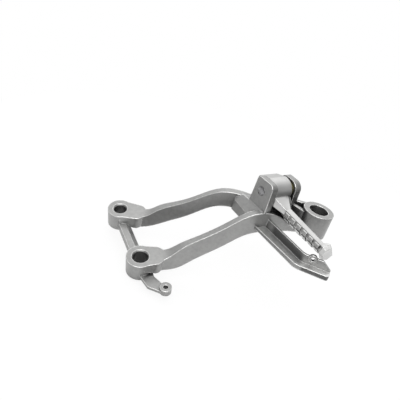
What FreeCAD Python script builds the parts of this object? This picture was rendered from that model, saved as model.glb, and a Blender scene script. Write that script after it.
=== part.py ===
import FreeCAD, Part
import math
import os

# Driving sizes in millimetres and degrees
# Clevis and hinge, with the hinge pin's centre as the place that the rest is measured from
pinDiameter = 8.0
clevisWidth = 37.6
earThickness = 7.0
earWidth = 23.0
earTop = 11.3
earRound = 5.5
outerEarRound = 8.5
clevisFloor = 15.7
baseDepth = 17.5
braceReach = 8.0
# Frame bolts
boltBack = 108.0
boltSide = 30.0
boltDrop = 81.0
boltSpacing = 66.0
boltBearing = 81.0
bossLeanBack = 14.0
bossLeanSide = 4.4
bossHeight = 18.0
lowerBore = 14.0
upperBore = 12.0
bossWall = 6.2
strutWidth = 10.0
# Blade arms
bladeThickness = 6.0
nearHeight = 22.0
farHeight = 16.5
plateThickness = 12.0
# Exhaust hanger
hangerAhead = 31.0
hangerSide = 31.0
hangerTop = 6.5
hangerHeight = 24.0
hangerBore = 18.0
hangerWall = 5.4
linkRib = 3.4
# Heel guard
guardReach = 54.0
guardTipReach = 30.0
guardTipTurn = 40.0
guardWidth = 12.5
guardFloor = 30.0
guardThickness = 4.5
guardEdge = 2.6
guardWall = 1.8
guardRise = 8.0
eyeBore = 3.4
eyeWall = 2.0
bendRound = 12.0
# Tab beside the lower bolt
tabReach = 37.0
tabWidth = 13.0
tabThickness = 3.4
tabBore = 4.4
tabLugWall = 3.2
# Folding peg
pegLength = 78.5
pegWidth = 18.5
pegTipWidth = 14.5
pegThickness = 7.5
pegTipThickness = 5.8
pegRoll = 50.0
pegOffset = 8.5
pegTipOffset = 3.5
foldAngle = 100.0
padCount = 6
padHeight = 1.7
flangeLength = 6.5

# Clearances
runningFit = 0.05
sideFit = 0.1
stopFit = 0.15
# How far a piece of a casting reaches into the one that it grows from
overlap = 1.0

# Places and sizes worked out from the ones above
Vec = FreeCAD.Vector
Turn = FreeCAD.Rotation
up = Vec(0, 0, 1)
pinWay = Vec(1, 0, 0)
pinRadius = pinDiameter / 2
halfClevis = clevisWidth / 2
earInner = halfClevis - earThickness
earFront = -0.565 * earWidth
earBack = earFront + earWidth
washerThickness = 0.3 * earThickness
washerStart = earInner - washerThickness
barrelRadius = earTop - 0.3
blockStart = sideFit - earInner
blockEnd = washerStart - sideFit
baseBottom = -clevisFloor - baseDepth
grooveRadius = 0.72 * pinRadius
clipThickness = 0.15 * pinDiameter
bossTurn = Turn(Vec(1, 0, 0), bossLeanSide) * Turn(Vec(0, 1, 0), -bossLeanBack)
bossAxis = bossTurn.multVec(up)
lowerRadius = lowerBore / 2 + bossWall
upperRadius = upperBore / 2 + bossWall
hangerRadius = hangerBore / 2 + hangerWall
lowerBolt = Vec(-boltBack, boltSide, -boltDrop)
bearing = math.radians(boltBearing)
boltLine = Vec(math.cos(bearing), math.sin(bearing), 0)
upperBolt = lowerBolt + bossTurn.multVec(boltLine * boltSpacing)
hangerSpot = Vec(hangerAhead, -hangerSide, 0)
guardRoot = -halfClevis - 0.5 * braceReach
tipWidth = 0.74 * guardWidth
eyeThickness = 1.6 * guardWall
farEnd = Vec(0.25 * earThickness - earInner, earBack + 0.2 * earWidth, 0)
tall = 4 * boltDrop
sideways = Turn(Vec(0, 1, 0), up, pinWay, "ZXY")


def roundedFace(corners):
    # Flat face through corners (x, y, radius), each corner rounded by an arc
    count = len(corners)
    starts = []
    mids = []
    ends = []
    for i in range(count):
        x, y, radius = corners[i]
        here = Vec(x, y, 0)
        back = (Vec(corners[i - 1][0], corners[i - 1][1], 0) - here).normalize()
        ahead = (Vec(corners[(i + 1) % count][0], corners[(i + 1) % count][1], 0) - here).normalize()
        half = back.getAngle(ahead) / 2
        starts.append(here + back * (radius / math.tan(half)))
        mids.append(here + (back + ahead).normalize() * (radius / math.sin(half) - radius))
        ends.append(here + ahead * (radius / math.tan(half)))
    edges = []
    for i in range(count):
        if corners[i][2] > 0:
            edges.append(Part.Arc(starts[i], mids[i], ends[i]).toShape())
        edges.append(Part.LineSegment(ends[i], starts[(i + 1) % count]).toShape())
    return Part.Face(Part.Wire(edges))


def prism(corners, low, high):
    face = roundedFace(corners)
    face.translate(up * low)
    return face.extrude(up * (high - low))


def placed(shape, base, turn):
    moved = shape.copy()
    moved.Placement = FreeCAD.Placement(base, turn)
    return moved


def onPin(radius, start, end):
    return Part.makeCylinder(radius, end - start, pinWay * start, pinWay)


def edgeRun(points, lead):
    # Straight from the first point to the second, then a smooth curve that sets off along lead
    line = Part.BSplineCurve()
    line.interpolate(Points=points[1:], InitialTangent=lead, FinalTangent=points[-1] - points[-2])
    return [Part.LineSegment(points[0], points[1]).toShape(), line.toShape()]


def sheet(start, along, topEdge, bottomEdge, across):
    # Solid between two edges given as (along, height), spread to both sides by the vector across
    foot = Vec(start.x, start.y, 0)
    top = [foot + along * s + up * z for s, z in topEdge]
    low = [foot + along * s + up * z for s, z in bottomEdge]
    lead = top[1] - top[0]
    closing = [Part.LineSegment(top[-1], low[-1]).toShape(), Part.LineSegment(low[0], top[0]).toShape()]
    outline = Part.Wire(Part.__sortEdges__(edgeRun(top, lead) + edgeRun(low, lead) + closing))
    face = Part.Face(outline)
    face.translate(across * -1)
    return face.extrude(across * 2)


def armPlan(radius, flareAt, neckAt, reach):
    # Half of an arm seen from above: side of the boss, rounded flare, hollow arc, blade
    half = bladeThickness / 2
    flareHalf = 0.8 * radius
    nose = 0.42 * flareHalf
    hip = Vec(flareAt + 0.7 * nose, flareHalf - nose, 0)
    run = neckAt - hip.x
    drop = hip.y - half
    hollow = (run * run + drop * drop) / (2 * drop)
    middle = Vec(hip.x + run / 2, half + hollow - math.sqrt(hollow * hollow - run * run / 4), 0)
    root = [Vec(0.3 * radius, 0, 0), Vec(0.3 * radius, 0.9 * radius, 0), Vec(flareAt - nose, flareHalf, 0)]
    tail = [Vec(neckAt, half, 0), Vec(reach, half, 0), Vec(reach, 0, 0), root[0]]
    edges = [Part.LineSegment(a, b).toShape() for a, b in zip(root, root[1:])]
    edges.append(Part.Arc(root[-1], Vec(flareAt, flareHalf - 0.3 * nose, 0), hip).toShape())
    edges.append(Part.Arc(hip, middle, tail[0]).toShape())
    edges += [Part.LineSegment(a, b).toShape() for a, b in zip(tail, tail[1:])]
    return Part.Face(Part.Wire(edges)).extrude(up * tall)


def makeArm(start, finish, crest, height, radius, climb, tail):
    # Blade arm: leaves its boss in the frame's plane, climbs to the clevis and goes on along a tail
    # climb holds (share of the way, share of the rise, depth over height), tail (along, top, bottom)
    flat = Vec(finish.x - start.x, finish.y - start.y, 0)
    along = flat * (1 / flat.Length)
    span = flat.Length
    slope = -bossAxis.dot(along) / bossAxis.z
    rise = crest - start.z
    flareAt = 0.18 * span
    topEdge = [(0, start.z), (flareAt, start.z + flareAt * slope)]
    bottomEdge = [(0, topEdge[0][1] - 0.5 * plateThickness), (flareAt, topEdge[1][1] - plateThickness)]
    for share, gain, depth in climb:
        topEdge.append((share * span, start.z + gain * rise))
        bottomEdge.append((share * span, start.z + gain * rise - depth * height))
    for s, high, low in tail:
        topEdge.append((s, high))
        bottomEdge.append((s, low))
    spread = bossAxis.cross(along) * (1.5 * radius)
    heading = Turn(up, math.degrees(math.atan2(along.y, along.x)))
    base = Vec(start.x, start.y, -0.75 * tall)
    plan = armPlan(radius, flareAt, 0.5 * span, tail[-1][0])
    plan = plan.fuse(plan.mirror(Vec(0, 0, 0), Vec(0, 1, 0)))
    return sheet(start, along, topEdge, bottomEdge, spread).common(placed(plan, base, heading))


def nearArm():
    # Runs from the lower bolt past the front of the clevis and on to the hanger
    corner = Vec(-halfClevis, 0, 0)
    whole = hangerSpot - lowerBolt
    corner.y = lowerBolt.y + (corner.x - lowerBolt.x) * whole.y / whole.x
    span = (corner - Vec(lowerBolt.x, lowerBolt.y, 0)).Length
    reach = math.hypot(whole.x, whole.y)
    crest = 0.3 - clevisFloor
    rest = reach - span
    low = -hangerTop - hangerHeight
    climb = ((0.34, 0.235, 1), (0.5, 0.425, 1.04), (0.74, 0.72, 1.03), (0.92, 0.94, 1))
    tail = ((span + 0.14 * rest, crest, crest - 0.9 * nearHeight), (span + 0.36 * rest, crest - 2.4, low - 2.4),
            (span + 0.52 * rest, crest - 6, low - 1), (reach, -hangerTop - 0.75 * hangerHeight, low))
    return makeArm(lowerBolt, corner, crest, nearHeight, lowerRadius, climb, tail)


def farArm():
    crest = -clevisFloor - 1
    span = math.hypot(farEnd.x - upperBolt.x, farEnd.y - upperBolt.y)
    climb = ((0.30, 0.235, 1.06), (0.42, 0.42, 1.09), (0.55, 0.62, 1.07), (0.77, 0.96, 0.97), (0.86, 1, 0.95))
    tail = ((1.02 * span, crest, crest - 0.94 * farHeight), (1.08 * span, crest, crest - 0.94 * farHeight))
    return makeArm(upperBolt, farEnd, crest, farHeight, upperRadius, climb, tail)


def bossGroup():
    # Two bolt bosses, the strut between them and the tab, drawn in the frame's plane
    lower = Part.makeCylinder(lowerRadius, bossHeight, up * -bossHeight)
    upper = Part.makeCylinder(upperRadius, bossHeight, boltLine * boltSpacing - up * bossHeight)
    half = strutWidth / 2
    ridge = -0.4 * bossHeight
    bar = prism([(ridge, -half, 0), (ridge, 0.2 * half, 0), (ridge - 0.5 * half, 1.1 * half, 0),
                 (-0.9 * bossHeight, 1.1 * half, 0), (-0.9 * bossHeight, -half, 0)], 0, boltSpacing)
    across = boltLine.cross(up)
    strut = placed(bar, Vec(0, 0, 0), Turn(up, across, up.cross(across), "ZXY"))
    low = -0.83 * bossHeight
    eye = tabEye()
    radius = tabBore / 2 + tabLugWall
    tab = prism([(-0.52 * tabWidth, -0.3 * lowerRadius, 0), (-0.42 * tabWidth, -0.7 * tabReach, 4),
                 (eye.x - 2, eye.y - 0.85 * radius, 3), (eye.x + 2, eye.y, 0),
                 (0.38 * tabWidth, -0.5 * tabReach, 5), (0.62 * tabWidth, -0.3 * lowerRadius, 0)],
                low, low + tabThickness)
    lug = Part.makeCylinder(radius, 1.9 * tabThickness, Vec(eye.x, eye.y, low))
    return placed(lower.multiFuse([upper, strut, tab, lug]), lowerBolt, bossTurn)


def tabEye():
    return Vec(0.2 * tabReach, -0.96 * tabReach, 0)


def clevis():
    # Base under the hinge, with a sloped facet towards the arms, and the two ears on it
    left = -halfClevis - braceReach
    base = prism([(left, 0.4 * earFront, 0), (-halfClevis, 0.8 * earFront, 0), (halfClevis, earFront, 0),
                  (halfClevis, earBack, 4), (0.4 * earThickness - earInner, earBack, 3),
                  (left + 2, earBack + 0.65 * earWidth, 2)], baseBottom, -clevisFloor)
    facet = prism([(left - overlap, -clevisFloor - 0.5 * baseDepth, 0), (left, -clevisFloor - 0.5 * baseDepth, 0),
                   (-halfClevis, -clevisFloor, 0), (-halfClevis, overlap - clevisFloor, 0),
                   (left - overlap, overlap - clevisFloor, 0)], -tall / 4, tall / 4)
    base = base.cut(placed(facet, Vec(0, 0, 0), Turn(Vec(1, 0, 0), 90)))
    ears = []
    for start, frontRound, backRound in ((-halfClevis, earRound, 0.55 * earRound),
                                         (earInner, outerEarRound, 0.7 * outerEarRound)):
        ear = prism([(earFront, -clevisFloor - overlap, 0), (0.95 * earFront, earTop, frontRound),
                     (0.9 * earBack, earTop, backRound), (earBack, -clevisFloor - overlap, 0)], 0, earThickness)
        ears.append(placed(ear, pinWay * start, sideways))
    whole = hangerSpot - lowerBolt
    slant = whole.y / whole.x
    apron = prism([(left, 0, 0), (halfClevis, 0, 0),
                   (halfClevis, lowerBolt.y + slant * (halfClevis - lowerBolt.x), 0),
                   (left, lowerBolt.y + slant * (left - lowerBolt.x), 0)], baseBottom + 3, -clevisFloor - 6.5)
    return base.multiFuse(ears + [apron])


def hangerLink():
    # Two ribs and a web that tie the outer ear to the hanger
    top = -hangerTop - 0.06 * hangerHeight
    ear = halfClevis - earThickness / 2
    ribs = []
    half = linkRib / 2
    for start, end, sink in (
            (Vec(ear, -0.2 * earWidth, 0), hangerSpot + Vec(0.1 * hangerRadius, 0.86 * hangerRadius, 0), 0),
            (Vec(ear, earFront + 2, 0), hangerSpot + Vec(-0.8 * hangerRadius, 0.3 * hangerRadius, 0), 0.45 * linkRib)):
        way = end - start
        bar = prism([(0, -half, 0), (way.Length, -half, 0), (way.Length, half, 0), (0, half, 0)],
                    top - 0.6 * hangerHeight, top - sink)
        ribs.append(placed(bar, start, Turn(up, math.degrees(math.atan2(way.y, way.x)))))
    web = prism([(ear, -0.2 * earWidth, 0), (hangerSpot.x, hangerSpot.y + 0.86 * hangerRadius, 0),
                 (hangerSpot.x - 0.8 * hangerRadius, hangerSpot.y + 0.3 * hangerRadius, 0), (ear, earFront + 2, 0)],
                top - 0.55 * hangerHeight, top - 0.3 * hangerHeight)
    return ribs + [web]


def guardTip():
    # Bend of the guard's outer edge, the way along its tip and the way across it
    turn = math.radians(guardTipTurn)
    bend = Vec(guardRoot - 0.5, earFront - guardReach, 0)
    return bend, Vec(math.sin(turn), -math.cos(turn), 0), Vec(math.cos(turn), math.sin(turn), 0)


def heelGuard():
    # Angle section: flat floor, thicker towards its tip, and a thin wall along its inner side
    bend, tip, side = guardTip()
    outerTip = bend + tip * guardTipReach
    innerTip = outerTip + side * tipWidth
    innerBend = bend + Vec(0.84 * guardWidth, 0.2 * guardWidth, 0)
    innerRoot = Vec(guardRoot + guardWidth, 0, 0)
    low = -guardFloor - guardThickness
    floor = prism([(guardRoot, 0, 0), (bend.x, bend.y, bendRound), (outerTip.x, outerTip.y, 0.25 * bendRound),
                   (innerTip.x, innerTip.y, 0.2 * bendRound), (innerBend.x, innerBend.y, 0.7 * bendRound),
                   (innerRoot.x, 0, 0)], low, -guardFloor)
    taper = prism([(0, low - overlap, 0), (outerTip.y, low - overlap, 0), (outerTip.y, low, 0),
                   (0, -guardFloor - guardEdge, 0)],
                  -tall / 4, tall / 4)
    wall = prism([(innerRoot.x, 0, 0), (innerRoot.x - guardWall, 0, 0),
                  (innerBend.x - guardWall, innerBend.y - 0.4 * guardWall, 0.7 * bendRound),
                  (innerTip.x - guardWall * side.x, innerTip.y - guardWall * side.y, 0),
                  (innerTip.x, innerTip.y, 0), (innerBend.x, innerBend.y, 0.7 * bendRound)],
                 low + overlap, guardRise - guardFloor)
    across = Turn(tip, up, side * -1, "ZXY")
    slope = prism([(0.62 * guardTipReach, 1.3 * guardRise, 0), (1.05 * guardTipReach, 0.06 * guardRise, 0),
                   (1.05 * guardTipReach, 2 * guardRise, 0), (0.62 * guardTipReach, 2 * guardRise, 0)],
                  -2 * guardWidth, 2 * guardWidth)
    wall = wall.cut(placed(slope, bend - up * guardFloor, across))
    lug = Part.makeCylinder(eyeBore / 2 + eyeWall, eyeThickness, guardEye() - side * (eyeThickness / 2), side)
    return floor.cut(placed(taper, Vec(0, 0, 0), sideways)).multiFuse([wall, lug])


def guardEye():
    bend, tip, side = guardTip()
    return bend + tip * (0.42 * guardTipReach) + side * (tipWidth - guardWall / 2) + up * (0.8 * guardRise - guardFloor)


def makeBracket():
    hanger = Part.makeCylinder(hangerRadius, hangerHeight, hangerSpot - up * (hangerTop + hangerHeight))
    shape = clevis().multiFuse([nearArm(), farArm(), bossGroup(), heelGuard(), hanger] + hangerLink())
    bores = [onPin(pinRadius + runningFit, -clevisWidth, clevisWidth)]
    for spot, bore in ((lowerBolt, lowerBore), (upperBolt, upperBore)):
        drill = Part.makeCylinder(bore / 2, 4 * bossHeight, up * (-3 * bossHeight))
        sink = Part.makeCone(bore / 2, bore / 2 + 1.2, 1.2, up * -1.2)
        bores.append(placed(drill.fuse(sink), spot, bossTurn))
    eye = tabEye()
    bores.append(placed(Part.makeCylinder(tabBore / 2, bossHeight, eye - up * bossHeight), lowerBolt, bossTurn))
    bores.append(Part.makeCylinder(hangerBore / 2, tall, hangerSpot - up * tall / 2))
    side = guardTip()[2]
    bores.append(Part.makeCylinder(eyeBore / 2, guardWidth, guardEye() - side * (guardWidth / 2), side))
    for bore in bores:
        shape = shape.cut(bore)
    return shape.removeSplitter()


def pegSection(at, width, thickness, offset):
    # Six sided section turned by the roll angle: three tread facets first, smooth back last
    roll = math.radians(pegRoll)
    wide = Vec(math.cos(roll), -math.sin(roll), 0)
    tread = Vec(-math.sin(roll), -math.cos(roll), 0)
    corners = ((0.5, 0.1), (0.24, 0.5), (-0.24, 0.5), (-0.5, 0.1), (-0.4, -0.5), (0.4, -0.5))
    return [Vec(0, -offset, at) + wide * (w * width) + tread * (t * thickness) for w, t in corners]


def ring(points):
    return Part.makePolygon(points + [points[0]])


def patch(centre, axial, across, normal, height):
    # Block over a patch of a facet, sunk into it by the overlap
    corners = [centre + axial * i + across * j - normal * overlap for i, j in ((-1, -1), (1, -1), (1, 1), (-1, 1))]
    return Part.Face(ring(corners)).extrude(normal * (height + overlap))


def treadCell(first, second, firstEnd, secondEnd, begin, finish, core, ridged):
    # One cell of the tread on the facet between two long edges: a pad, with or without a low ridge round it
    a = first + (firstEnd - first) * begin
    b = second + (secondEnd - second) * begin
    c = first + (firstEnd - first) * finish
    d = second + (secondEnd - second) * finish
    axial = (c - a + d - b) * 0.25
    across = (b - a + d - c) * 0.25
    centre = (a + b + c + d) * 0.25
    normal = axial.cross(across).normalize()
    if normal.dot(centre - core) < 0:
        normal = normal * -1
    if not ridged:
        return [patch(centre, axial * 0.64, across * 0.8, normal, padHeight)]
    ridge = patch(centre, axial, across * 0.92, normal, 0.45 * padHeight)
    hollow = patch(centre, axial * 0.84, across * 0.72, normal, padHeight)
    return [ridge.cut(hollow), patch(centre, axial * 0.6, across * 0.5, normal, padHeight)]


def makePeg():
    barStart = 2.3 * barrelRadius
    barEnd = pegLength - flangeLength
    half = (blockEnd - blockStart) / 2
    middle = (blockStart + blockEnd) / 2
    deep = 0.5 * barrelRadius
    barrel = onPin(barrelRadius, blockStart, blockEnd)
    reach = clevisFloor - stopFit
    foot = prism([(0, -reach, 0), (0.45 * barrelRadius, -reach, 1.5), (barrelRadius, -0.35 * barrelRadius, 0),
                  (barrelRadius, 0, 0), (0, 0, 0)], blockStart, blockEnd)
    heel = placed(foot, Vec(0, 0, 0), sideways)
    corners = ((half, -deep), (-0.3 * half, -deep), (-half, -0.5 * deep),
               (-half, deep), (0.6 * half, deep), (half, 0.7 * deep))
    shoulder = [Vec(middle + x, y - 0.5 * pegOffset, 0) for x, y in corners]
    neckFoot = [point + up * (1.1 * barrelRadius) for point in shoulder]
    root = pegSection(barStart, pegWidth, pegThickness, pegOffset)
    end = pegSection(barEnd, pegTipWidth, pegTipThickness, pegTipOffset)
    body = Part.makeLoft([ring(shoulder), ring(neckFoot)], True, True)
    neck = Part.makeLoft([ring(neckFoot), ring(root)], True, True)
    bar = Part.makeLoft([ring(root), ring(end)], True, True)
    flare = [pegSection(barEnd - 1, pegTipWidth + 1, pegTipThickness + 1, pegTipOffset),
             pegSection(barEnd + 0.45 * flangeLength, pegTipWidth + 6, pegTipThickness + 6, pegTipOffset),
             pegSection(pegLength, pegTipWidth + 3.5, pegTipThickness + 4, pegTipOffset)]
    stop = Part.makeLoft([ring(section) for section in flare], True, True)
    tread = []
    for row in range(3):
        for k in range(padCount):
            core = Vec(0, -(pegOffset + pegTipOffset) / 2, barStart + (k + 0.5) / padCount * (barEnd - barStart))
            tread += treadCell(root[row], root[row + 1], end[row], end[row + 1],
                               k / padCount, (k + 1) / padCount, core, row == 1)
    peg = barrel.multiFuse([heel, body, neck, bar, stop] + tread)
    peg = peg.cut(onPin(pinRadius + runningFit, -clevisWidth, clevisWidth))
    return placed(peg.removeSplitter(), Vec(0, 0, 0), Turn(pinWay, foldAngle))


def makePin():
    # Plain pin with a low domed head on one ear and a groove for the clip past the other
    headRadius = 1.12 * pinRadius
    headRise = 0.18 * pinRadius
    pin = onPin(pinRadius, -halfClevis, halfClevis + 0.55 * pinDiameter)
    head = Part.makeCone(0.86 * headRadius, headRadius, headRise, pinWay * (-halfClevis - headRise), pinWay)
    groove = onPin(2 * pinRadius, halfClevis, halfClevis + clipThickness).cut(onPin(grooveRadius, 0, clevisWidth))
    return pin.fuse(head).cut(groove)


def makeClip():
    # Snap ring that sits in the pin's groove, open at one side
    disc = onPin(1.75 * pinRadius, halfClevis, halfClevis + clipThickness).cut(onPin(grooveRadius, 0, clevisWidth))
    mouth = Part.makeBox(clevisWidth, 1.3 * pinRadius, 3 * pinRadius, Vec(0, -0.65 * pinRadius, 0))
    return disc.cut(mouth)


def makeWasher():
    return onPin(0.93 * barrelRadius, washerStart, earInner).cut(onPin(pinRadius + runningFit, 0, clevisWidth))


os.makedirs("parts", exist_ok=True)
origin = lowerBolt - bossAxis * (bossHeight / 2)
nodes = {"bracket": makeBracket, "footpeg": makePeg, "hinge_pin": makePin,
         "retaining_clip": makeClip, "spring_washer": makeWasher}
for name, make in nodes.items():
    solid = make()
    solid.translate(origin * -1)
    solid.exportStep("parts/" + name + ".step")
    print(name, len(solid.Solids), "solids", round(solid.Volume), "mm3", solid.isValid())
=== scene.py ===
import math

import bpy
import numpy as np
from mathutils import Matrix, Vector


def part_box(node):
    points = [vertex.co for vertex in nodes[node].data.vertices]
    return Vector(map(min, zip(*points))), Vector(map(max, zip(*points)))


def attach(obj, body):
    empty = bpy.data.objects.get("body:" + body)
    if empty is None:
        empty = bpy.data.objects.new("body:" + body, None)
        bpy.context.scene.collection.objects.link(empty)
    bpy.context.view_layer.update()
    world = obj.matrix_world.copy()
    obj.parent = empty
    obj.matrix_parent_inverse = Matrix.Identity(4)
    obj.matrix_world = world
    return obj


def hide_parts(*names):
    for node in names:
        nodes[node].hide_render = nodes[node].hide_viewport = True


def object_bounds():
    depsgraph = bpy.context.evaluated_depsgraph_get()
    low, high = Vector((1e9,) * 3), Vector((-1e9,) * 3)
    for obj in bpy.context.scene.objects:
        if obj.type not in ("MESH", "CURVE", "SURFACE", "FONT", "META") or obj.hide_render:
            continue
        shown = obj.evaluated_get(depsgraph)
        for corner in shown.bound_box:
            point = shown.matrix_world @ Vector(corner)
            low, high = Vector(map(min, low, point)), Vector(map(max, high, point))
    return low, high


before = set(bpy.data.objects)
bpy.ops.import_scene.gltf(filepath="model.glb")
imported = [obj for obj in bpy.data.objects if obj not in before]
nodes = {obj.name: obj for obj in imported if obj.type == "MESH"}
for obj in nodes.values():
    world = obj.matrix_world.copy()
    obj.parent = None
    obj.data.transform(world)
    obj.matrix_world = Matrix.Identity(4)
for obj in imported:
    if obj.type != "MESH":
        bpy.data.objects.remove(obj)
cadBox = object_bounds()
print("frame loaded:", ", ".join(sorted(nodes)))


class Sock:
    # wraps one output socket, so that shader maths reads as plain arithmetic
    def __init__(self, tree, socket):
        self.tree = tree
        self.socket = socket

    def math(self, operation, first, second):
        return makeNode(self.tree, "ShaderNodeMath", {"operation": operation}, {0: first, 1: second})

    def __add__(self, other):
        return self.math("ADD", self, other)

    def __radd__(self, other):
        return self.math("ADD", other, self)

    def __sub__(self, other):
        return self.math("SUBTRACT", self, other)

    def __rsub__(self, other):
        return self.math("SUBTRACT", other, self)

    def __mul__(self, other):
        return self.math("MULTIPLY", self, other)

    def __rmul__(self, other):
        return self.math("MULTIPLY", other, self)

    def __pow__(self, other):
        return self.math("POWER", self, other)

    def clamped(self):
        return makeNode(self.tree, "ShaderNodeClamp", {}, {"Value": self})


def plug(tree, socket, value):
    if isinstance(value, Sock):
        tree.links.new(value.socket, socket)
    else:
        socket.default_value = value


def makeNode(tree, kind, settings, inputs, output=0):
    # adds one node: settings first, then the values or links of its sockets
    node = tree.nodes.new(kind)
    for key, value in settings.items():
        if key == "stops":
            ramp = node.color_ramp
            while len(ramp.elements) < len(value):
                ramp.elements.new(0.5)
            for element, (place, shade) in zip(ramp.elements, value):
                element.position = place
                element.color = (*shade, 1.0)
        else:
            setattr(node, key, value)
    for key, value in inputs.items():
        plug(tree, node.inputs[key], value)
    return Sock(tree, node.outputs[output])


def mixColour(tree, factor, first, second):
    # colour sockets of the Mix node in RGBA mode are 6 and 7, its output is 2
    sockets = {0: factor, 6: first, 7: second}
    return makeNode(tree, "ShaderNodeMix", {"data_type": "RGBA"}, sockets, 2)


def noise(tree, place, scale, detail=4.0, rough=0.55):
    sockets = {"Vector": place, "Scale": scale, "Detail": detail, "Roughness": rough}
    return makeNode(tree, "ShaderNodeTexNoise", {}, sockets)


def dotProduct(tree, first, second):
    sockets = {0: first, 1: second}
    return makeNode(tree, "ShaderNodeVectorMath", {"operation": "DOT_PRODUCT"}, sockets, "Value")


def flatNormal(tree):
    return makeNode(tree, "ShaderNodeNewGeometry", {}, {}, "True Normal")


def startMaterial(name):
    material = bpy.data.materials.new(name)
    material.use_nodes = True
    tree = material.node_tree
    shader = tree.nodes["Principled BSDF"]
    place = makeNode(tree, "ShaderNodeTexCoord", {}, {}, "Object")
    return material, tree, shader, place


maskSamples = 6
edgeStart = 0.02  # bend at which a painted edge highlight begins; the same edge line lowers roughness
cornerStop = 3.0  # how soon the painted edge highlight stops toward an inner corner


def roundedNormal(tree, radius):
    return makeNode(tree, "ShaderNodeBevel", {"samples": maskSamples}, {"Radius": radius})


def edgeLine(tree, rounded, sharpness):
    # 1 - (rounded normal . flat normal), less a small start and scaled: a line where two faces meet
    agree = dotProduct(tree, rounded, flatNormal(tree))
    return ((1.0 - agree - edgeStart) * sharpness).clamped()


def stretched(value, gain):
    # widens a noise about its middle value
    return ((value - 0.5) * gain + 0.5).clamped()


def crevice(tree, reach, threshold=0.0):
    # 0 where less than the threshold is hidden within reach, 1 where all is: corners, grooves and bores
    sockets = {"Distance": reach}
    clear = makeNode(tree, "ShaderNodeAmbientOcclusion", {"samples": maskSamples}, sockets, "AO")
    return ((1.0 - clear - threshold) * (1 / (1 - threshold))).clamped()


def outwardOf(corners):
    return (1.0 - corners * cornerStop).clamped()


def within(tree, place, low, high, rim):
    # 1 inside the box low..high of the shared frame, falling to 0 over the rim outside it
    share = 1.0
    smooth = {"interpolation_type": "SMOOTHSTEP"}
    for axis in range(3):
        along = makeNode(tree, "ShaderNodeSeparateXYZ", {}, {0: place}, axis)
        for near, far in ((low[axis] - rim, low[axis]), (high[axis] + rim, high[axis])):
            ends = {"Value": along, "From Min": near, "From Max": far}
            share = makeNode(tree, "ShaderNodeMapRange", smooth, ends) * share
    return share


def bumped(tree, finish, relief, rounded):
    amount = {"Strength": finish["bump"], "Distance": finish["bumpDepth"]}
    return makeNode(tree, "ShaderNodeBump", {}, {**amount, "Height": relief, "Normal": rounded})


def fillShader(tree, shader, colour, roughness, metal, normal):
    plug(tree, shader.inputs["Base Color"], colour)
    plug(tree, shader.inputs["Roughness"], roughness.clamped())
    plug(tree, shader.inputs["Normal"], normal)
    shader.inputs["Metallic"].default_value = metal


castFinish = {
    "dark": (0.20, 0.20, 0.198, 1), "pale": (0.40, 0.40, 0.395, 1),
    # a pale painted edge highlight, and a dark painted shade for corners, bores and crevices
    "edgeHighlight": (0.95, 0.95, 0.94, 1), "paintedShade": (0.07, 0.07, 0.07, 1),
    "cornerShadeReach": 0.003, "cornerShadeShare": 0.7, "boreShadeReach": 0.025, "boreShadeThreshold": 0.58, "boreShadeShare": 2.4,
    "edgeWidth": 0.0012, "edgeSharp": 24.0, "highlightLeast": 0.75, "highlightMottle": 0.25,
    "cloud": {"scale": 26.0, "detail": 5.0}, "cloudGain": 1.8, "cloudShare": 0.45,
    "mottle": {"scale": 300.0, "detail": 6.0, "rough": 0.65}, "mottleGain": 2.2, "mottleShare": 0.35,
    "grain": {"scale": 1500.0, "detail": 2.0, "rough": 0.6}, "grainShare": 0.2,
    "grainRelief": 0.35, "mottleRelief": 0.65, "bump": 0.22, "bumpDepth": 0.0004,
    "metal": 0.9, "rough": 0.27, "roughGrain": 0.08, "roughMottle": 0.08, "polish": 0.06,
}

# boxes as two corners from the middle of the hinge pin's head
guardFinish = {
    "floor": ((-0.006, -0.093, -0.0312), (0.026, -0.0145, -0.0287)), "floorRim": 0.0012,
    "wall": ((-0.006, -0.069, -0.0317), (0.014, -0.027, -0.0217)), "wallRim": 0.006,
    # the tip's steep faces are made darker, the wall gets painted shade and the level floor painted light
    "tip": ((-0.006, -0.095, -0.0360), (0.022, -0.072, -0.0307)), "tipRim": 0.0010, "tipDarkening": 0.75,
    "guardDarkening": 0.95, "wallShadeReach": 0.016, "wallShadeGain": 6.0, "wallFocus": 8.0, "levelFocus": 4.0,
    "paintedLitFloor": (0.76, 0.76, 0.75, 1), "floorLight": 0.95, "floorLightLeast": 0.75, "floorLightMottle": 0.25,
}


def guardArea(tree, place, area):
    low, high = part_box("hinge_pin")
    pinHead = Vector((low.x, (low.y + high.y) / 2, (low.z + high.z) / 2))
    corners = [pinHead + Vector(corner) for corner in guardFinish[area]]
    return within(tree, place, *corners, guardFinish[area + "Rim"])


def guardPaintedLightAndShade(tree, place, base, mottle):
    # painted light and shade: the guard's level floor is painted lighter, painted shade darkens the
    # hidden wall beside it, and the tip's steep faces are made darker
    floor, wall, tip = [guardArea(tree, place, area) for area in ("floor", "wall", "tip")]
    level = dotProduct(tree, flatNormal(tree), (0, 0, 1)).clamped() ** guardFinish["levelFocus"]
    upright = dotProduct(tree, flatNormal(tree), (-1, 0, 0)).clamped() ** guardFinish["wallFocus"]
    hidden = (crevice(tree, guardFinish["wallShadeReach"]) * guardFinish["wallShadeGain"]).clamped()
    tipDarkened = tip * (1.0 - level) * guardFinish["tipDarkening"]
    # painted shade on the hidden wall, with the tip's steep faces made darker
    guardDarkening = (wall * hidden * upright * guardFinish["guardDarkening"] + tipDarkened).clamped()
    patchy = guardFinish["floorLightLeast"] + mottle * guardFinish["floorLightMottle"]
    # painted light: the level floor is made lighter, patchy with the mottle
    paintedLight = (floor * level * patchy * guardFinish["floorLight"]).clamped()
    darkenedGuard = mixColour(tree, guardDarkening, base, castFinish["paintedShade"])
    return mixColour(tree, paintedLight, darkenedGuard, guardFinish["paintedLitFloor"])


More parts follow.
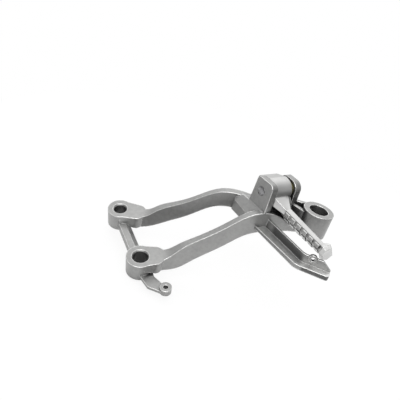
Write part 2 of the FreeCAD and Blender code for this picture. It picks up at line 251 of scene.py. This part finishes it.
def castAluminium():
    # satin casting: broad clouds, a fine mottle from the mould, painted shade in corners and bores,
    # painted highlights along outward edges
    finish = castFinish
    material, tree, shader, place = startMaterial("castAluminium")
    rounded = roundedNormal(tree, finish["edgeWidth"])
    edges = edgeLine(tree, rounded, finish["edgeSharp"])
    cloud = stretched(noise(tree, place, **finish["cloud"]), finish["cloudGain"])
    mottle = stretched(noise(tree, place, **finish["mottle"]), finish["mottleGain"])
    grain = noise(tree, place, **finish["grain"])
    tone = cloud * finish["cloudShare"] + mottle * finish["mottleShare"] + grain * finish["grainShare"]
    base = mixColour(tree, tone.clamped(), finish["dark"], finish["pale"])
    # painted shade: corners and deep bores are darkened by how hidden they are
    corners = crevice(tree, finish["cornerShadeReach"])
    boreShade = crevice(tree, finish["boreShadeReach"], finish["boreShadeThreshold"])
    paintedShade = (corners * finish["cornerShadeShare"] + boreShade * finish["boreShadeShare"]).clamped()
    withShade = guardPaintedLightAndShade(tree, place, mixColour(tree, paintedShade, base, finish["paintedShade"]), mottle)
    # painted highlight: pale lines along outward edges, patchy with the mottle
    patchy = finish["highlightLeast"] + mottle * finish["highlightMottle"]
    paintedLight = (edges * outwardOf(corners) * patchy).clamped()
    edgeHighlight = mixColour(tree, paintedLight, withShade, finish["edgeHighlight"])
    relief = grain * finish["grainRelief"] + mottle * finish["mottleRelief"]
    roughness = finish["rough"] + grain * finish["roughGrain"] + mottle * finish["roughMottle"]
    fillShader(tree, shader, edgeHighlight, roughness - edges * finish["polish"], finish["metal"],
               bumped(tree, finish, relief, rounded))
    return material


pegFinish = {
    "dull": (0.40, 0.40, 0.395, 1), "bright": (0.62, 0.62, 0.615, 1),
    # a pale painted edge highlight and a dark painted shade
    "edgeHighlight": (0.95, 0.95, 0.94, 1), "paintedShade": (0.10, 0.10, 0.10, 1), "cornerShadeReach": 0.002, "cornerShadeShare": 0.75,
    "edgeWidth": 0.0007, "edgeSharp": 5.0, "highlightShare": 0.9,
    "cloud": {"scale": 55.0, "detail": 5.0}, "grain": {"scale": 1800.0, "detail": 2.0, "rough": 0.6},
    "bump": 0.06, "bumpDepth": 0.0003, "metal": 1.0, "rough": 0.26, "roughGrain": 0.12, "polish": 0.06,
}


def brightAluminium():
    # paler, smoother casting with painted shade between the treads and painted highlights along edges
    finish = pegFinish
    material, tree, shader, place = startMaterial("brightAluminium")
    rounded = roundedNormal(tree, finish["edgeWidth"])
    edges = edgeLine(tree, rounded, finish["edgeSharp"])
    cloud = noise(tree, place, **finish["cloud"])
    grain = noise(tree, place, **finish["grain"])
    base = mixColour(tree, cloud, finish["dull"], finish["bright"])
    # painted shade between the treads, darkened by how hidden they are
    corners = crevice(tree, finish["cornerShadeReach"])
    withShade = mixColour(tree, (corners * finish["cornerShadeShare"]).clamped(), base, finish["paintedShade"])
    # painted highlight: pale lines along outward edges
    paintedLight = (edges * outwardOf(corners) * finish["highlightShare"]).clamped()
    edgeHighlight = mixColour(tree, paintedLight, withShade, finish["edgeHighlight"])
    roughness = finish["rough"] + grain * finish["roughGrain"]
    fillShader(tree, shader, edgeHighlight, roughness - edges * finish["polish"], finish["metal"],
               bumped(tree, finish, grain, rounded))
    return material


platedFinish = {
    "zincSteel": {"low": (0.22, 0.22, 0.225, 1), "high": (0.32, 0.32, 0.325, 1), "rough": 0.20},
    "yellowZinc": {"low": (0.20, 0.18, 0.05, 1), "high": (0.42, 0.37, 0.12, 1), "rough": 0.28},
    "cloud": {"scale": 160.0, "detail": 4.0}, "grain": {"scale": 2600.0, "detail": 2.0},
    "edgeWidth": 0.0004, "cornerShadeReach": 0.003, "bump": 0.05, "bumpDepth": 0.0002,
    "metal": 0.9, "roughGrain": 0.1,
}


def platedSteel(name):
    finish = platedFinish
    plating = finish[name]
    material, tree, shader, place = startMaterial(name)
    rounded = roundedNormal(tree, finish["edgeWidth"])
    cloud = noise(tree, place, **finish["cloud"])
    grain = noise(tree, place, **finish["grain"])
    plate = mixColour(tree, cloud, plating["low"], plating["high"])
    # painted shade in crevices, darkened by how hidden they are
    base = mixColour(tree, crevice(tree, finish["cornerShadeReach"]), plate, castFinish["paintedShade"])
    fillShader(tree, shader, base, plating["rough"] + grain * finish["roughGrain"], finish["metal"],
               bumped(tree, finish, grain, rounded))
    return material


def dress(name, material):
    node = nodes[name]
    node.data.materials.clear()
    node.data.materials.append(material)
    for polygon in node.data.polygons:
        polygon.material_index = 0


smoothAngle = 32.0  # degrees; sharper creases stay sharp


def addPiece(name, points, faces, material, body, node):
    # a new surface that stands for one CAD node and moves with its body
    mesh = bpy.data.meshes.new(name)
    mesh.from_pydata(points.tolist(), [], faces)
    mesh.shade_smooth()
    mesh.set_sharp_from_angle(angle=math.radians(smoothAngle))
    mesh.materials.append(material)
    piece = bpy.data.objects.new(name, mesh)
    bpy.context.collection.objects.link(piece)
    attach(piece, body)
    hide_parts(node)


def fullTurn(count):
    return np.arange(count) * 2 * np.pi / count


def gridFaces(rows, columns, closedRows):
    # quads of a grid whose columns close on themselves, and whose rows may too
    spans = rows if closedRows else rows - 1
    i, j = np.meshgrid(np.arange(spans), np.arange(columns), indexing="ij")
    nextI, nextJ = (i + 1) % rows, (j + 1) % columns
    corners = [i * columns + j, i * columns + nextJ, nextI * columns + nextJ, nextI * columns + j]
    return np.stack(corners, axis=-1).reshape(-1, 4)


waveWasher = {
    "thick": 0.0009, "bore": 0.0043, "waves": 3,
    "squareness": 0.35, "around": 144, "section": 20,
}


def squared(wavy):
    return np.sign(wavy) * np.abs(wavy) ** waveWasher["squareness"]


def makeWaveWasher(material):
    # ring u = 0..2pi about the pin, section v = 0..2pi a rounded rectangle:
    # r = middle + half width * squared(cos v)
    # x = wave * sin(waves u) + half thick * squared(sin v), squared(w) = sgn(w)|w|^s
    low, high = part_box("spring_washer")
    middle = (low + high) / 2
    outer = (high.y - low.y) / 2
    halfWidth = (outer - waveWasher["bore"]) / 2
    halfThick = waveWasher["thick"] / 2
    wave = (high.x - low.x) / 2 - halfThick
    u, v = np.meshgrid(fullTurn(waveWasher["around"]), fullTurn(waveWasher["section"]), indexing="ij")
    radius = outer - halfWidth + halfWidth * squared(np.cos(v))
    x = middle.x + wave * np.sin(waveWasher["waves"] * u) + halfThick * squared(np.sin(v))
    points = np.stack([x, middle.y + radius * np.cos(u), middle.z + radius * np.sin(u)], axis=-1)
    faces = gridFaces(*u.shape, True)
    addPiece("waveWasher", points.reshape(-1, 3), faces.tolist(), material,
             "bracket_body", "spring_washer")


hingePin = {
    "radius": 0.004, "headRise": 0.0007, "groove": 0.00288,
    "chamfer": 0.0007, "dome": 10, "around": 96,
}


def pinProfile(low, high):
    # (x, r) from head to tail: the head's quarter ellipse, the shank, the clip's groove and a chamfer
    clipLow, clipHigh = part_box("retaining_clip")
    headRadius = (high.y - low.y) / 2
    rise, radius, chamfer = hingePin["headRise"], hingePin["radius"], hingePin["chamfer"]
    arc = np.linspace(0, np.pi / 2, hingePin["dome"] + 1)[1:]
    domeX = low.x + rise * (1 - np.cos(arc))
    domeR = headRadius * np.sin(arc)
    shankX = [low.x + rise, clipLow.x, clipLow.x, clipHigh.x, clipHigh.x, high.x - chamfer, high.x]
    shankR = [radius, radius, hingePin["groove"], hingePin["groove"], radius, radius, radius - chamfer]
    return np.concatenate([domeX, shankX]), np.concatenate([domeR, shankR])


def makeHingePin(material):
    # the profile (x, r) turned about the pin's own line: y = r cos u, z = r sin u, with a fan at each end
    low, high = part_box("hinge_pin")
    middle = (low + high) / 2
    x, r = pinProfile(low, high)
    count = hingePin["around"]
    u = fullTurn(count)
    ringX = np.repeat(x[:, None], count, axis=1)
    ringY = middle.y + r[:, None] * np.cos(u)
    ringZ = middle.z + r[:, None] * np.sin(u)
    points = np.stack([ringX, ringY, ringZ], axis=-1).reshape(-1, 3)
    poles = np.array([[low.x, middle.y, middle.z], [high.x, middle.y, middle.z]])
    walls = gridFaces(len(x), count, False)[:, ::-1]
    around = np.arange(count)
    following = (around + 1) % count
    lastRing = (len(x) - 1) * count
    firstPole = np.full(count, len(points))
    headFan = np.stack([firstPole, around, following], axis=-1)
    tailFan = np.stack([firstPole + 1, lastRing + following, lastRing + around], axis=-1)
    faces = walls.tolist() + headFan.tolist() + tailFan.tolist()
    addPiece("domedPin", np.vstack([points, poles]), faces, material,
             "bracket_body", "hinge_pin")


zinc = platedSteel("zincSteel")
dress("bracket", castAluminium())
dress("footpeg", brightAluminium())
dress("retaining_clip", zinc)
makeHingePin(zinc)
makeWaveWasher(platedSteel("yellowZinc"))
print("finishes on the castings and clip, domed pin and wave washer made")

white = (1, 1, 1, 1)
studio = {
    "floorDrop": 0.002, "floorSize": 0.70, "floorShift": (0.09, 0.096), "floorSides": 96,
    "floorColour": (0.93, 0.93, 0.93, 1), "floorRough": 0.9, "floorGlow": 0.88, "mirrorGlow": 0.2,
    "heights": [(0.0, 0.10), (0.50, 0.10), (0.57, 0.42), (0.75, 0.46), (1.0, 0.70)],
    "backWall": (0.40, 0.77, 0.50), "backGain": 2.2,
}


def backgroundShare(tree, seenShare):
    # how far the plain white stands in for the lit surface: to the eye, and less so in metal
    seen = makeNode(tree, "ShaderNodeLightPath", {}, {}, "Is Camera Ray")
    glossy = makeNode(tree, "ShaderNodeLightPath", {}, {}, "Is Glossy Ray")
    through = makeNode(tree, "ShaderNodeLightPath", {}, {}, "Is Transmission Ray")
    return seen * seenShare + (glossy + through).clamped() * studio["mirrorGlow"]


def floorPaint():
    # pale card that keeps the shadow, clear when seen from below
    material, tree, shader, _ = startMaterial("paleFloor")
    shader.inputs["Base Color"].default_value = studio["floorColour"]
    shader.inputs["Roughness"].default_value = studio["floorRough"]
    paint = Sock(tree, shader.outputs[0])
    glow = makeNode(tree, "ShaderNodeEmission", {}, {"Color": white, "Strength": 1.0})
    share = backgroundShare(tree, studio["floorGlow"])
    pale = makeNode(tree, "ShaderNodeMixShader", {}, {0: share, 1: paint, 2: glow})
    underneath = makeNode(tree, "ShaderNodeNewGeometry", {}, {}, "Backfacing")
    clear = makeNode(tree, "ShaderNodeBsdfTransparent", {}, {})
    surface = makeNode(tree, "ShaderNodeMixShader", {}, {0: underneath, 1: pale, 2: clear})
    plug(tree, tree.nodes["Material Output"].inputs["Surface"], surface)
    return material


def makeFloor():
    # round card about the part's middle, moved back a little: x = half cos t, y = half sin t
    middle = (cadBox[0] + cadBox[1]) / 2
    shiftX, shiftY = studio["floorShift"]
    half = studio["floorSize"] / 2
    turns = fullTurn(studio["floorSides"])
    height = np.full_like(turns, cadBox[0][2] - studio["floorDrop"])
    rimX = middle.x + shiftX + half * np.cos(turns)
    rimY = middle.y + shiftY + half * np.sin(turns)
    mesh = bpy.data.meshes.new("floor")
    mesh.from_pydata(np.stack([rimX, rimY, height], axis=-1).tolist(), [], [list(range(len(turns)))])
    mesh.materials.append(floorPaint())
    floor = bpy.data.objects.new("floor", mesh)
    bpy.context.collection.objects.link(floor)


def makeWorld():
    # dim soft room over a dark skirting, with a pale wall behind the part, white to the eye
    world = bpy.data.worlds.new("studio")
    bpy.context.scene.world = world
    world.use_nodes = True
    tree = world.node_tree
    toward = makeNode(tree, "ShaderNodeTexCoord", {}, {}, "Generated")
    height = makeNode(tree, "ShaderNodeSeparateXYZ", {}, {0: toward}, "Z")
    stops = [(level, (shade, shade, shade)) for level, shade in studio["heights"]]
    # from straight down at 0 to straight up at 1
    room = makeNode(tree, "ShaderNodeValToRGB", {"stops": stops}, {0: height * 0.5 + 0.5})
    facing = dotProduct(tree, toward, studio["backWall"]).clamped()
    gain = 1.0 + facing * facing * studio["backGain"]
    share = backgroundShare(tree, 1.0)
    background = tree.nodes["Background"]
    plug(tree, background.inputs["Color"], mixColour(tree, share, room, white))
    plug(tree, background.inputs["Strength"], gain * (1.0 - share) + share)


lampSet = {
    "key": {"at": (-0.50, -0.60, 0.90), "aim": (0.06, -0.02, 0.05), "size": 1.2, "power": 10.0},
}


def makeLamps():
    for name, lamp in lampSet.items():
        light = bpy.data.lights.new(name, "AREA")
        light.energy = lamp["power"]
        light.size = lamp["size"]
        item = bpy.data.objects.new(name, light)
        item.location = lamp["at"]
        item.visible_camera = False
        toward = Vector(lamp["aim"]) - Vector(lamp["at"])
        item.rotation_euler = toward.to_track_quat("-Z", "Y").to_euler()
        bpy.context.collection.objects.link(item)


view = {
    "at": (-0.2324, -0.2999, 0.2925), "along": (0.5961, 0.6386, -0.4866),
    "right": (0.7975, -0.5410, 0.2670), "focalPixels": 514.0, "imagePixels": 400.0,
    "sensor": 36.0, "nearClip": 0.01,
}


def makeCamera():
    data = bpy.data.cameras.new("photoCamera")
    data.sensor_width = view["sensor"]
    data.sensor_fit = "HORIZONTAL"
    data.lens = view["sensor"] * view["focalPixels"] / view["imagePixels"]
    data.clip_start = view["nearClip"]
    camera = bpy.data.objects.new("photoCamera", data)
    back = -Vector(view["along"]).normalized()
    right = Vector(view["right"])
    right = (right - back * right.dot(back)).normalized()
    above = back.cross(right)
    camera.matrix_world = Matrix((right, above, back)).transposed().to_4x4()
    camera.location = view["at"]
    bpy.context.collection.objects.link(camera)
    bpy.context.scene.camera = camera


makeFloor()
makeWorld()
makeLamps()
makeCamera()
bpy.context.scene.view_settings.view_transform = "Standard"
print("floor, light and camera set")
